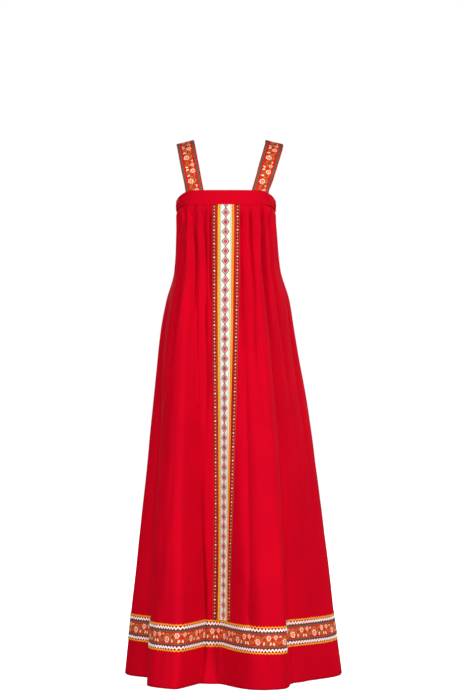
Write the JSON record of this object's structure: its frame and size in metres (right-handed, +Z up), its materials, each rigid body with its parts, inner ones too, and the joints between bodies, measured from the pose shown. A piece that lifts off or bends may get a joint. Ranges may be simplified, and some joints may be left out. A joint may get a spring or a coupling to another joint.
{
  "type": "sarafan dress",
  "caption": "Long red sarafan dress in its worn form: plain yoke, shoulder straps, gathered A-line skirt, woven trim down the front and round the hem.",
  "frame": {"origin": "between the tops of the shoulder straps, on the dress's middle line, where the wearer's shoulders hold it", "axes": "+Z up, the front faces -Y, +X to the right as seen from the front"},
  "size_m": [0.5745, 0.5148, 1.4127],
  "materials": {
    "red_cloth": "matt plain weave",
    "floral_tape": "woven tape, flowers on red between green edges",
    "diamond_tape": "white woven tape with crimson diamonds",
    "gold_braid": "narrow braid with a soft sheen",
    "gold_rickrack": "wavy braid with a soft sheen",
    "dotted_braid": "brown and gold braid with silver dots",
    "white_rickrack": "wavy braid, matt"
  },
  "bodies": {
    "root": {"skirt_front": "red_cloth", "skirt_back": "red_cloth", "yoke_front": "red_cloth", "yoke_back": "red_cloth", "strap_left": "red_cloth", "strap_right": "red_cloth", "strap_tape_left": "floral_tape", "strap_tape_right": "floral_tape", "hem_floral_tape": "floral_tape", "centre_tape": "diamond_tape", "centre_gold_left": "gold_braid", "centre_gold_right": "gold_braid", "hem_gold_top": "gold_rickrack", "hem_gold_bottom": "gold_rickrack", "centre_bead_left": "dotted_braid", "centre_bead_right": "dotted_braid", "hem_white_top": "white_rickrack", "hem_white_bottom": "white_rickrack"}
  },
  "joints": []
}
